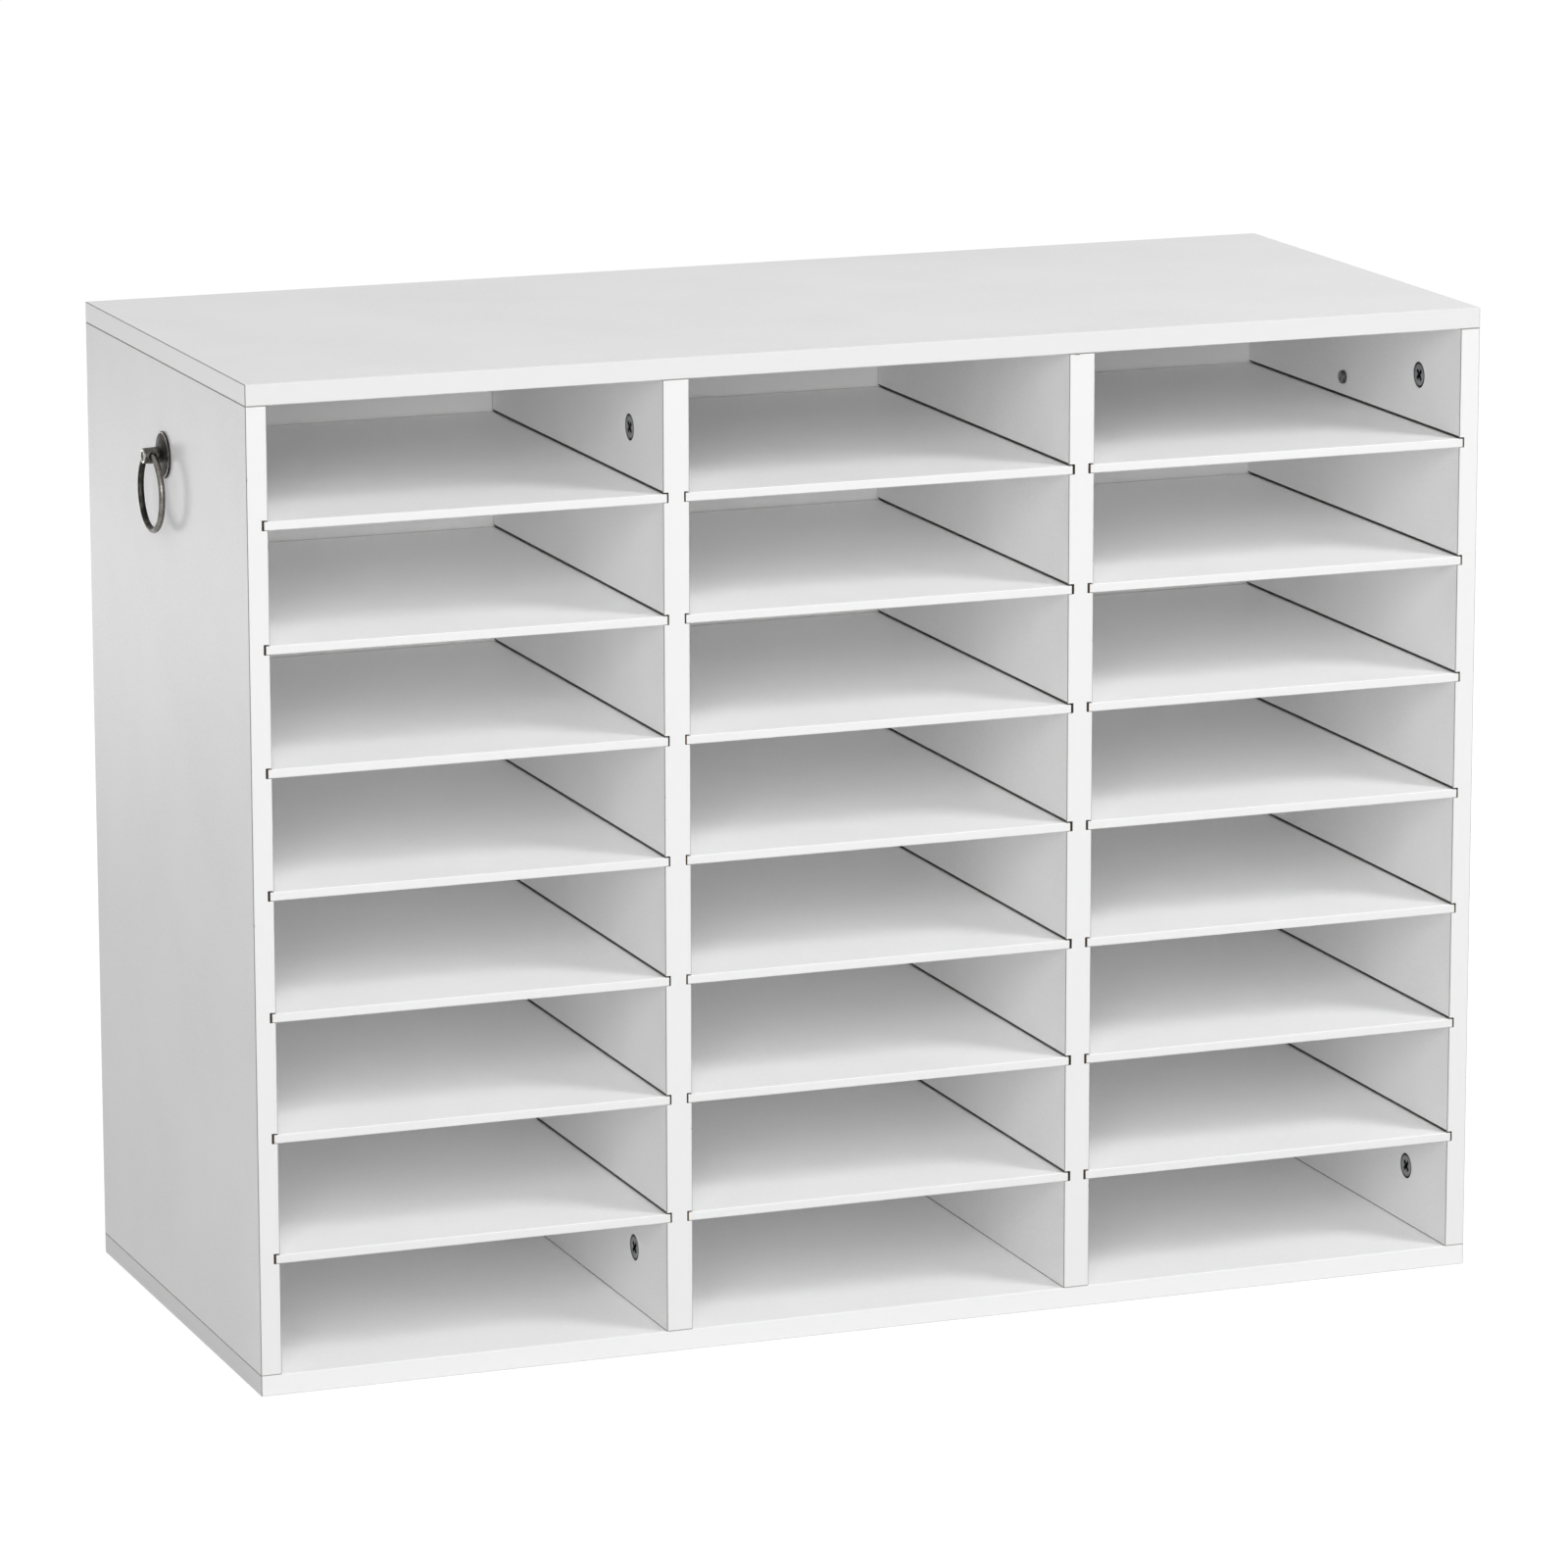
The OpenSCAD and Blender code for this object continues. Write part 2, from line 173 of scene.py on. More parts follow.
bm = bmesh.new()
bmesh.ops.create_grid(bm, x_segments=1, y_segments=1, size=sweep_half)
bmesh.ops.translate(bm, verts=bm.verts, vec=(0, 0, -sweep_gap))
floor = bpy.data.objects.new("sweep", mesh_of("sweep", bm))
floor.data.materials.append(finished("matt white sweep paper", lifted_paper))
bpy.context.scene.collection.objects.link(floor)


def softbox(name, place, aim, size, watts):
    """A square softbox that looks from its place to its aim, and that no camera sees."""
    lamp = bpy.data.lights.new(name, "AREA")
    lamp.shape = "SQUARE"
    lamp.size = size
    lamp.energy = watts
    box = bpy.data.objects.new(name, lamp)
    box.location = place
    box.rotation_euler = (aim - place).to_track_quat("-Z", "Y").to_euler()
    box.visible_camera = False
    bpy.context.scene.collection.objects.link(box)


softbox("right_softbox", right_place, middle, size=1.1, watts=55)
softbox("left_softbox", left_place, middle, size=1.6, watts=49)
softbox("grazing_softbox", grazing_place, grazed_place, size=0.22, watts=1.1)

# The carcass boards: particleboard faced with white melamine foil, sawn to size, with a
# plain band ironed on the front edges. The saw opens the core in the grooves and bores.
# A grey hair line with a few chips along each sawn arris is glue line and painted seam shade.

melamine_white = "#EEEEEE"
melamine_shade = "#E8E8E8"
# The inner whites are the brighter white of the shelves and the painted back. On the bottom panel,
# which is the same melamine as the rest, the brighter white is painted light.
inner_white = "#FAFAFA"
inner_shade = "#F5F5F5"
band_white = "#E6E6E6"
# Lighter and darker copies of the band: painted shade on the top panel's front band and the bottom
# panel's ends, painted light on the bottom panel's front band and the top panel's ends.
top_band_shaded_white = "#DEDEDE"
bottom_band_lit_white = "#ECECEC"
top_end_lit_white = "#F4F4F4"
bottom_end_shaded_white = "#E0E0E0"
glue_and_seam_shade = "#8E8C88"
# Painted shade: the dark of the lines in the grooves' gaps, at the walls' feet and beside some groove
# ends.
gap_shade_dark = "#262524"
# The core colours are the board's own browns, darkened as painted shade of the grooves.
core_brown_shaded = "#3F3730"
core_dark_shaded = "#24201B"
core_pale_shaded = "#5C5246"
foil_t = 0.5 * MM
glue_and_seam_shade_w = 0.42 * MM
chip_reach = 0.5 * MM
lip_w = 0.7 * MM
foot_shade_w = 0.45 * MM
gap_shade_w = 0.5 * MM
groove_play = 0.8 * MM
shelf_end_gap = 0.8 * MM
pearl_pitch = 1.6 * MM
cloud_pitch = 90 * MM
nick_pitch = 6.4 * MM
flake_pitch = 2.2 * MM
pearl_deep = 0.05 * MM
mottle_range = (0.15, 0.4)
foil_rough = (0.42, 0.54)
foil_ior = 1.5
chip_range = (0.72, 0.78)
uprights = ("left_side_panel", "left_divider", "right_divider", "right_side_panel")
floor_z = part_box("bottom_panel")[1].z
inner_walls_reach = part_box("right_side_panel")[0].x + 1 * MM


def depths_in(tree, place, board):
    """Sockets with how deep a place lies under the board's ends, which face along X, and
    under its nearest and its second nearest sides."""
    low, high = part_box(board)
    from_middle = add(tree, "VectorMath", {0: place, 1: (low + high) / 2}, operation="SUBTRACT")
    reach = add(tree, "VectorMath", {0: from_middle.outputs[0]}, operation="ABSOLUTE")
    depth = add(tree, "VectorMath", {0: (high - low) / 2, 1: reach.outputs[0]}, operation="SUBTRACT")
    x, y, z = add(tree, "SeparateXYZ", {0: depth.outputs[0]}).outputs
    less = add(tree, "Math", {0: x, 1: y}, operation="MINIMUM").outputs[0]
    more = add(tree, "Math", {0: x, 1: y}, operation="MAXIMUM").outputs[0]
    nearest = add(tree, "Math", {0: less, 1: z}, operation="MINIMUM").outputs[0]
    middling = add(tree, "Math", {0: more, 1: z}, operation="MINIMUM").outputs[0]
    second = add(tree, "Math", {0: less, 1: middling}, operation="MAXIMUM").outputs[0]
    return x, nearest, second


def particleboard(tree, place):
    """A socket with the colour of sawn particleboard: pressed brown flakes, drawn darker than
    the real board as painted shade of the narrow grooves and bores they line."""
    flakes = add(tree, "TexVoronoi", {"Vector": place, "Scale": 1 / flake_pitch, "Randomness": 1.0})
    chip = add(tree, "SeparateColor", {0: flakes.outputs["Color"]}).outputs[0]
    flake = add(tree, "Mix", {"Factor": chip, "A": linear(core_dark_shaded), "B": linear(core_pale_shaded)},
                data_type="RGBA")
    flake_blend = add(tree, "TexNoise", {"Vector": place, "Scale": 2 / flake_pitch, "Detail": 4.0})
    return add(tree, "Mix", {"Factor": flake_blend.outputs[0], "A": flake.outputs["Result"],
                             "B": linear(core_brown_shaded)}, data_type="RGBA").outputs["Result"]


def melamine_foil(tree, place, white, shade):
    """Sockets of the white foil: its faintly mottled colour, its roughness and its pearl
    grain. The grain is 0.2 mm on the real foil and is drawn coarser, so that it shows."""
    cloud = add(tree, "TexNoise", {"Vector": place, "Scale": 1 / cloud_pitch, "Detail": 2.0})
    pearl = add(tree, "TexNoise", {"Vector": place, "Scale": 1 / pearl_pitch, "Detail": 3.0}).outputs[0]
    mottle = add(tree, "Math", {0: cloud.outputs[0], 1: pearl}, operation="MULTIPLY")
    spread = add(tree, "MapRange", {"Value": mottle.outputs[0], "From Min": mottle_range[0],
                                    "From Max": mottle_range[1]})
    foil = add(tree, "Mix", {"Factor": spread.outputs[0], "A": linear(white), "B": linear(shade)},
               data_type="RGBA")
    rough = add(tree, "MapRange", {"Value": pearl, "To Min": foil_rough[0], "To Max": foil_rough[1]})
    return foil.outputs["Result"], rough.outputs[0], pearl


def painted_shade_lines(tree, place, at_front, gap_shade_xs):
    """A socket that is 1 in the lines of painted shade on an upright: on the inner walls along
    the upper lip of each shelf groove and at the foot, and on the front band beside the
    bottom of each groove that ends at one of the listed x places."""
    shelf_low, shelf_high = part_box("shelf_left_7")
    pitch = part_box("shelf_left_6")[1].z - shelf_high.z
    groove_h = shelf_high.z - shelf_low.z + groove_play
    x, y, z = add(tree, "SeparateXYZ", {0: place}).outputs
    above = add(tree, "Math", {0: z, 1: shelf_low.z + groove_h}, operation="SUBTRACT").outputs[0]
    over_groove = add(tree, "Math", {0: above, 1: pitch}, operation="FLOORED_MODULO").outputs[0]
    off_floor = add(tree, "Math", {0: above, 1: -groove_h}, operation="GREATER_THAN").outputs[0]

    at_lip = add(tree, "Math", {0: over_groove, 1: lip_w}, operation="LESS_THAN").outputs[0]
    lip = add(tree, "Math", {0: at_lip, 1: off_floor}, operation="MULTIPLY").outputs[0]
    foot = add(tree, "Math", {0: z, 1: floor_z + foot_shade_w}, operation="LESS_THAN").outputs[0]
    line = add(tree, "Math", {0: lip, 1: foot}, operation="MAXIMUM").outputs[0]
    aside = add(tree, "Math", {0: x}, operation="ABSOLUTE").outputs[0]
    inside = add(tree, "Math", {0: aside, 1: inner_walls_reach}, operation="LESS_THAN").outputs[0]
    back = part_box("back_panel")[0].y
    ahead = add(tree, "Math", {0: y, 1: back}, operation="LESS_THAN").outputs[0]
    in_column = add(tree, "Math", {0: inside, 1: ahead}, operation="MULTIPLY").outputs[0]
    on_wall = add(tree, "Math", {0: in_column, 1: at_front}, operation="SUBTRACT", use_clamp=True)
    lines = add(tree, "Math", {0: line, 1: on_wall.outputs[0]}, operation="MULTIPLY").outputs[0]

    level = add(tree, "Math", {0: over_groove, 1: pitch - groove_h}, operation="GREATER_THAN")
    beside = add(tree, "Math", {0: level.outputs[0], 1: off_floor}, operation="MULTIPLY").outputs[0]
    on_band = add(tree, "Math", {0: beside, 1: at_front}, operation="MULTIPLY").outputs[0]
    for gap_shade_x in gap_shade_xs:
        near = add(tree, "Math", {0: x, 1: gap_shade_x, 2: gap_shade_w / 2}, operation="COMPARE").outputs[0]
        gap_shade = add(tree, "Math", {0: near, 1: on_band}, operation="MULTIPLY").outputs[0]
        lines = add(tree, "Math", {0: lines, 1: gap_shade}, operation="MAXIMUM").outputs[0]
    return lines


def melamine_board(board, band, whites=(melamine_white, melamine_shade), end_white=None, gap_shade_xs=()):
    """White melamine on particleboard, cut as this board is. A board with an end_white lies
    flat, so its long arrises are wrapped and only its ends are sawn and banded."""

    def surface(tree):
        place = add(tree, "TexCoord").outputs["Object"]
        end_depth, nearest, second = depths_in(tree, place, board)
        y = add(tree, "SeparateXYZ", {0: place}).outputs["Y"]
        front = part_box(board)[0].y + foil_t
        at_front = add(tree, "Math", {0: y, 1: front}, operation="LESS_THAN").outputs[0]
        colour, rough, pearl = melamine_foil(tree, place, *whites)
        if end_white:
            at_end = add(tree, "Math", {0: end_depth, 1: foil_t}, operation="LESS_THAN")
            colour = add(tree, "Mix", {"Factor": at_end.outputs[0], "A": colour,
                                       "B": linear(end_white)}, data_type="RGBA").outputs["Result"]
        colour = add(tree, "Mix", {"Factor": at_front, "A": colour, "B": linear(band)},
                     data_type="RGBA").outputs["Result"]

        nicks = add(tree, "TexNoise", {"Vector": place, "Scale": 1 / nick_pitch, "Detail": 2.0})
        chipped = add(tree, "MapRange", {"Value": nicks.outputs[0], "From Min": chip_range[0],
                                         "From Max": chip_range[1], "To Max": chip_reach})
        # Painted shade: the grey glue line along each arris also stands for the shade in the seams
        # between boards.
        line_end = add(tree, "Math", {0: chipped.outputs[0], 1: glue_and_seam_shade_w}, operation="ADD")
        from_arris = second
        if end_white:
            from_arris = add(tree, "Math", {0: second, 1: end_depth}, operation="MAXIMUM").outputs[0]
        arris = add(tree, "Math", {0: from_arris, 1: line_end.outputs[0]}, operation="LESS_THAN")
        colour = add(tree, "Mix", {"Factor": arris.outputs[0], "A": colour, "B": linear(glue_and_seam_shade)},
                     data_type="RGBA").outputs["Result"]
        # Painted shade: dark lines under each groove's lip, at the foot and beside some groove ends.
        if board in uprights:
            colour = add(tree, "Mix", {"Factor": painted_shade_lines(tree, place, at_front, gap_shade_xs),
                                       "A": colour, "B": linear(gap_shade_dark)},
                         data_type="RGBA").outputs["Result"]

        # Where the board is sawn open its core shows, drawn dark as painted shade of the grooves.
        sawn = add(tree, "Math", {0: nearest, 1: foil_t}, operation="GREATER_THAN").outputs[0]
        colour = add(tree, "Mix", {"Factor": sawn, "A": colour, "B": particleboard(tree, place)},
                     data_type="RGBA").outputs["Result"]
        rougher = add(tree, "Math", {0: rough, 1: sawn}, operation="MAXIMUM")
        grain = add(tree, "Bump", {"Height": pearl, "Strength": 0.12, "Distance": pearl_deep})
        return add(tree, "BsdfPrincipled", {"Base Color": colour, "Roughness": rougher.outputs[0],
                                            "IOR": foil_ior, "Normal": grain.outputs[0]})

    return finished("white melamine on particleboard, " + board, surface)


def dress(node, material):
    """Gives a CAD node a better material, in its object's material slots."""
    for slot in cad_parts[node].material_slots:
        slot.material = material


# Painted shade on the front band beside the grooves of the left side panel and the
# right divider, where the gap at the shelf ends lies in shadow.
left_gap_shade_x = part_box("shelf_left_1")[0].x - shelf_end_gap - gap_shade_w / 2
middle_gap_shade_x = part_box("shelf_middle_1")[1].x + shelf_end_gap + gap_shade_w / 2
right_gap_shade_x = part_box("shelf_right_1")[0].x - shelf_end_gap - gap_shade_w / 2
gap_shade_boards = {"left_side_panel": (left_gap_shade_x,), "right_divider": (middle_gap_shade_x, right_gap_shade_x)}

# Painted light and shade: the top and bottom panels take their own lighter and darker band and end
# whites, and the bottom panel the brighter inner white.
dress("bottom_panel", melamine_board("bottom_panel", bottom_band_lit_white,
                                     whites=(inner_white, inner_shade), end_white=bottom_end_shaded_white))
dress("top_panel", melamine_board("top_panel", top_band_shaded_white, end_white=top_end_lit_white))
for board in uprights:
    dress(board, melamine_board(board, band_white, gap_shade_xs=gap_shade_boards.get(board, ())))

# The back: hardboard, pressed wood fibre, painted white in front and left brown behind.
# It drops in a groove that runs round the sides, the bottom and the top.

hardboard_brown = "#A8855F"
hardboard_dark = "#8C6B4A"
fibre_pitch = 1.4 * MM
felt_pitch = 14 * MM
felt_range = (0.75, 1.25)
hardboard_rough = (0.5, 0.75)
nap_deep = 0.1 * MM


def hardboard(tree):
    """White paint in front, and behind the bare brown face, dull and clouded by its fibres."""
    place = add(tree, "TexCoord").outputs["Object"]
    y = add(tree, "SeparateXYZ", {0: place}).outputs["Y"]
    painted_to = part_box("back_panel")[0].y + foil_t
    behind = add(tree, "Math", {0: y, 1: painted_to}, operation="GREATER_THAN").outputs[0]
    fibres = add(tree, "TexNoise", {"Vector": place, "Scale": 1 / fibre_pitch, "Detail": 6.0,
                                    "Roughness": 0.7, "Distortion": 1.5})
    felt = add(tree, "TexNoise", {"Vector": place, "Scale": 1 / felt_pitch, "Detail": 3.0})
    mixed = add(tree, "Math", {0: fibres.outputs[0], 1: felt.outputs[0]}, operation="ADD")
    spread = add(tree, "MapRange", {"Value": mixed.outputs[0], "From Min": felt_range[0],
                                    "From Max": felt_range[1]})
    brown = add(tree, "Mix", {"Factor": spread.outputs[0], "A": linear(hardboard_dark),
                              "B": linear(hardboard_brown)}, data_type="RGBA")
    colour = add(tree, "Mix", {"Factor": behind, "A": linear(inner_white),
                               "B": brown.outputs["Result"]}, data_type="RGBA")
    rough = add(tree, "MapRange", {"Value": fibres.outputs[0], "To Min": hardboard_rough[0],
                                   "To Max": hardboard_rough[1]})
    nap = add(tree, "Bump", {"Height": fibres.outputs[0], "Strength": 0.3, "Distance": nap_deep})
    return add(tree, "BsdfPrincipled", {"Base Color": colour.outputs["Result"],
                                        "Roughness": rough.outputs[0], "Normal": nap.outputs[0]})


dress("back_panel", finished("hardboard, painted in front", hardboard))

# The shelves: thin fibreboard wrapped in white foil, which runs round the front edge.
# The ends and the rear edge are sawn and stay bare, because the grooves and the back
# hide them. They slide in from the front. A grey band at each end, inside its groove, is painted shade.

edge_white = "#E6E6E6"
groove_shade_grey = "#85827D"
# The bare fibreboard is drawn darker than it is, as painted shade of the grooves that hide its ends.
fibreboard_tan = "#8C785E"
fibreboard_dark = "#6B5A45"
bare_depth = 0.25 * MM
groove_shade_w = 2.4 * MM


def foiled_shelf(shelf):
    """White foil on fibreboard, for one shelf: smooth and faintly pearled, and a matt tan
    where it is bare, drawn dark as painted shade."""

    def surface(tree):
        low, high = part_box(shelf)
        place = add(tree, "TexCoord").outputs["Object"]
        x, y, _ = add(tree, "SeparateXYZ", {0: place}).outputs
        from_middle = add(tree, "Math", {0: x, 1: (low.x + high.x) / 2}, operation="SUBTRACT")
        aside = add(tree, "Math", {0: from_middle.outputs[0]}, operation="ABSOLUTE").outputs[0]
        half_l = (high.x - low.x) / 2
        at_end = add(tree, "Math", {0: aside, 1: half_l - bare_depth}, operation="GREATER_THAN")
        at_rear = add(tree, "Math", {0: y, 1: high.y - bare_depth}, operation="GREATER_THAN")
        bare = add(tree, "Math", {0: at_end.outputs[0], 1: at_rear.outputs[0]},
                   operation="MAXIMUM").outputs[0]
        foil, rough, pearl = melamine_foil(tree, place, inner_white, inner_shade)
        at_front = add(tree, "Math", {0: y, 1: low.y + bare_depth}, operation="LESS_THAN").outputs[0]
        edged = add(tree, "Mix", {"Factor": at_front, "A": foil, "B": linear(edge_white)},
                    data_type="RGBA")
        # Painted shade: a grey band where each end lies inside its groove.
        in_groove = add(tree, "Math", {0: aside, 1: half_l - groove_shade_w}, operation="GREATER_THAN")
        worn_and_shaded = add(tree, "Math", {0: in_groove.outputs[0], 1: at_front}, operation="SUBTRACT",
                     use_clamp=True)
        skin = add(tree, "Mix", {"Factor": worn_and_shaded.outputs[0], "A": edged.outputs["Result"],
                                 "B": linear(groove_shade_grey)}, data_type="RGBA")
        felt = add(tree, "TexNoise", {"Vector": place, "Scale": 1 / fibre_pitch, "Detail": 5.0})
        core = add(tree, "Mix", {"Factor": felt.outputs[0], "A": linear(fibreboard_dark),
                                 "B": linear(fibreboard_tan)}, data_type="RGBA")
        colour = add(tree, "Mix", {"Factor": bare, "A": skin.outputs["Result"],
                                   "B": core.outputs["Result"]}, data_type="RGBA")
        rougher = add(tree, "Math", {0: rough, 1: bare}, operation="MAXIMUM")
        grain = add(tree, "Bump", {"Height": pearl, "Strength": 0.1, "Distance": pearl_deep})
        return add(tree, "BsdfPrincipled", {"Base Color": colour.outputs["Result"],
                                            "Roughness": rougher.outputs[0],
                                            "IOR": foil_ior, "Normal": grain.outputs[0]})

    return finished("white foil on fibreboard, " + shelf, surface)


for shelf in sorted(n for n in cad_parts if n.startswith("shelf_")):
    dress(shelf, foiled_shelf(shelf))

# The cam locks: die-cast zinc, left raw. Each drops loose in its bore, and a cross
# screwdriver turns it to draw in the head of a cam bolt, which leaves its arrow between
# the bolt and the rear. A dimple lies opposite. Dark oxide stays in what lies deep, drawn
# dark enough to serve as its painted shade too, and a ring of painted shade lies at the rim.

zinc_raw = "#A4A5A7"
zinc_pale = "#BDBEC0"
dark_oxide_and_shade = "#1B1B1C"
zinc_grain = 0.6 * MM
zinc_blotch = 5 * MM
zinc_range = (0.15, 0.4)
zinc_rough = (0.42, 0.6)
cast_deep = 0.06 * MM
oxide_depth = (0.15 * MM, 0.8 * MM)
cam_r = 7.5 * MM
cam_round = 0.25 * MM
cam_ys = (-102 * MM, 102 * MM)
cam_setback = 35 * MM
cam_zs = (floor_z + cam_setback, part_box("top_panel")[0].z - cam_setback)
cam_turn = math.radians(45)
rim_shade_r = (cam_r - 1.7 * MM, cam_r - 0.8 * MM)
recess_dark_w = (1.5 * MM, 0.9 * MM)
recess_dark_l = (4.4 * MM, 3.6 * MM)
arrow_r = 1.1 * MM
arrow_out = 5.3 * MM
mark_deep = 0.35 * MM
dimple_ball_r = 1.0 * MM
dimple_aside = -1.9 * MM
dimple_out = 5.0 * MM
same_place = 0.001 * MM
flat_angle = math.radians(1)
arris_angle = math.radians(30)
sharp_angle = math.radians(32)


def carved(mesh, tool):
    """A new mesh: the first one with the second taken away."""
    blank = bpy.data.objects.new(mesh.name, mesh)
    cutter = bpy.data.objects.new(tool.name, tool)
    for item in (blank, cutter):
        bpy.context.scene.collection.objects.link(item)
    cut = blank.modifiers.new("carved", "BOOLEAN")
    cut.object = cutter
    cut.solver = "MANIFOLD"
    whole = blank.evaluated_get(bpy.context.evaluated_depsgraph_get())
    result = bpy.data.meshes.new_from_object(whole)
    for item in (blank, cutter):
        bpy.data.objects.remove(item)
    return result


def fit(name, mesh, material, body, node):
    """Puts a new piece in for a CAD node: in its finish, smooth where round, on its body."""
    mesh.materials.clear()
    mesh.materials.append(material)
    mesh.shade_smooth()
    mesh.set_sharp_from_angle(angle=sharp_angle)
    made = bpy.data.objects.new(name, mesh)
    bpy.context.scene.collection.objects.link(made)
    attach(made, body)
    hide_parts(node)


def off_axis(tree, place, y, z):
    """Two sockets: a place's offset from the axis along X at y and z, and its distance."""
    aside = add(tree, "VectorMath", {0: place, 1: (0, y, z)}, operation="SUBTRACT")
    flat = add(tree, "VectorMath", {0: aside.outputs[0], 1: (0, 1, 1)}, operation="MULTIPLY")
    distance = add(tree, "VectorMath", {0: flat.outputs[0]}, operation="LENGTH").outputs["Value"]
    return flat.outputs[0], distance


def cast_zinc(cams, face_x):
    """Raw die-cast zinc, dull and faintly blotched, with dark oxide in what lies deep and round
    the screwdriver's recess, dark enough to serve as their painted shade too, and painted
    shade at the rim, where the cam meets its bore. Its grain is drawn coarser than the real
    0.1 mm, so that it shows."""

    def surface(tree):
        low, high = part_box(cams)
        place = add(tree, "TexCoord").outputs["Object"]
        x = add(tree, "SeparateXYZ", {0: place}).outputs["X"]
        inward = add(tree, "Math", {0: x, 1: face_x}, operation="SUBTRACT")
        depth = add(tree, "Math", {0: inward.outputs[0]}, operation="ABSOLUTE")
        from_middle = add(tree, "VectorMath", {0: place, 1: (low + high) / 2}, operation="SUBTRACT")
        folded = add(tree, "VectorMath", {0: from_middle.outputs[0]}, operation="ABSOLUTE").outputs[0]
        offset, radius = off_axis(tree, folded, cam_ys[1], (cam_zs[1] - cam_zs[0]) / 2)
        turned = add(tree, "VectorRotate", {"Vector": offset, "Angle": cam_turn},
                     rotation_type="X_AXIS").outputs[0]
        arms = add(tree, "VectorMath", {0: turned}, operation="ABSOLUTE").outputs[0]
        _, across, along = add(tree, "SeparateXYZ", {0: arms}).outputs
        narrow = add(tree, "Math", {0: across, 1: along}, operation="MINIMUM").outputs[0]
        long = add(tree, "Math", {0: across, 1: along}, operation="MAXIMUM").outputs[0]
        in_arm = add(tree, "MapRange", {"Value": narrow, "From Min": recess_dark_w[0],
                                        "From Max": recess_dark_w[1]})
        short_of_end = add(tree, "MapRange", {"Value": long, "From Min": recess_dark_l[0],
                                              "From Max": recess_dark_l[1]})
        recess = add(tree, "Math", {0: in_arm.outputs[0], 1: short_of_end.outputs[0]},
                     operation="MULTIPLY")
        deep = add(tree, "MapRange", {"Value": depth.outputs[0], "From Min": oxide_depth[0],
                                      "From Max": oxide_depth[1]})
        # Painted shade: a dark ring at the rim of the cam's face, where it meets its bore.
        rim = add(tree, "MapRange", {"Value": radius, "From Min": rim_shade_r[0],
                                     "From Max": rim_shade_r[1]})
        dark = add(tree, "Math", {0: deep.outputs[0], 1: rim.outputs[0]}, operation="MAXIMUM")
        oxide_and_shade = add(tree, "Math", {0: dark.outputs[0], 1: recess.outputs[0]}, operation="MAXIMUM")
        skin = add(tree, "TexNoise", {"Vector": place, "Scale": 1 / zinc_grain, "Detail": 4.0})
        blotch = add(tree, "TexNoise", {"Vector": place, "Scale": 1 / zinc_blotch, "Detail": 2.0})
        tone = add(tree, "Math", {0: skin.outputs[0], 1: blotch.outputs[0]}, operation="MULTIPLY")
        spread = add(tree, "MapRange", {"Value": tone.outputs[0], "From Min": zinc_range[0],
                                        "From Max": zinc_range[1]})
        bare = add(tree, "Mix", {"Factor": spread.outputs[0], "A": linear(zinc_raw),
                                 "B": linear(zinc_pale)}, data_type="RGBA")
        colour = add(tree, "Mix", {"Factor": oxide_and_shade.outputs[0], "A": bare.outputs["Result"],
                                   "B": linear(dark_oxide_and_shade)}, data_type="RGBA")
        rough = add(tree, "MapRange", {"Value": skin.outputs[0], "To Min": zinc_rough[0],
                                       "To Max": zinc_rough[1]})
        cast = add(tree, "Bump", {"Height": skin.outputs[0], "Strength": 0.35, "Distance": cast_deep})
        return add(tree, "BsdfPrincipled", {"Base Color": colour.outputs["Result"], "Metallic": 1.0,
                                            "Roughness": rough.outputs[0], "Normal": cast.outputs[0]})

    return finished("raw die-cast zinc, " + cams, surface)


for cams, facing in (("left_side_cams", 1), ("left_divider_cams", -1),
                     ("right_divider_cams", 1), ("right_side_cams", -1)):
    face_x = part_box(cams)[1 if facing > 0 else 0].x
    bm = bmesh.new()
    bm.from_mesh(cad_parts[cams].data)
    bmesh.ops.remove_doubles(bm, verts=bm.verts, dist=same_place)
    bmesh.ops.dissolve_limit(bm, angle_limit=flat_angle, verts=bm.verts, edges=bm.edges)
    on_face = [e for e in bm.edges if e.calc_face_angle(0) > arris_angle
               and all(abs(v.co.x - face_x) < same_place for v in e.verts)]
    bmesh.ops.bevel(bm, geom=on_face, offset=cam_round, offset_type="OFFSET", segments=2,
                    profile=0.5, affect="EDGES", clamp_overlap=True, material=-1)
    casting = mesh_of("casting", bm)
    bm = bmesh.new()
    for y in cam_ys:
        for z in cam_zs:
            bolt = 1 if z == cam_zs[1] else -1
            axis = Matrix.Translation((face_x, y, z)) @ Matrix.Rotation(-bolt * cam_turn, 4, "X")
            upright = Matrix(((0, 0, 1), (bolt, 0, 0), (0, bolt, 0))).to_4x4()
            at_arrow = axis @ Matrix.Translation((0, 0, bolt * arrow_out)) @ upright
            bmesh.ops.create_cone(bm, cap_ends=True, segments=3, radius1=arrow_r, radius2=arrow_r,
                                  depth=2 * mark_deep, matrix=at_arrow)
            ball = (facing * dimple_ball_r / 2, dimple_aside, -bolt * dimple_out)
            bmesh.ops.create_icosphere(bm, subdivisions=3, radius=dimple_ball_r,
                                       matrix=axis @ Matrix.Translation(ball))
    fit(cams.replace("cams", "cam_locks"), carved(casting, mesh_of("marks", bm)),
        cast_zinc(cams, face_x), "carcass", cams)

# The cam bolts: turned steel, plated with zinc. A coarse thread bites in the top or bottom
# panel up to the collar, and a cam lock holds the head. They are turned in with a cross
# screwdriver before the uprights go on.

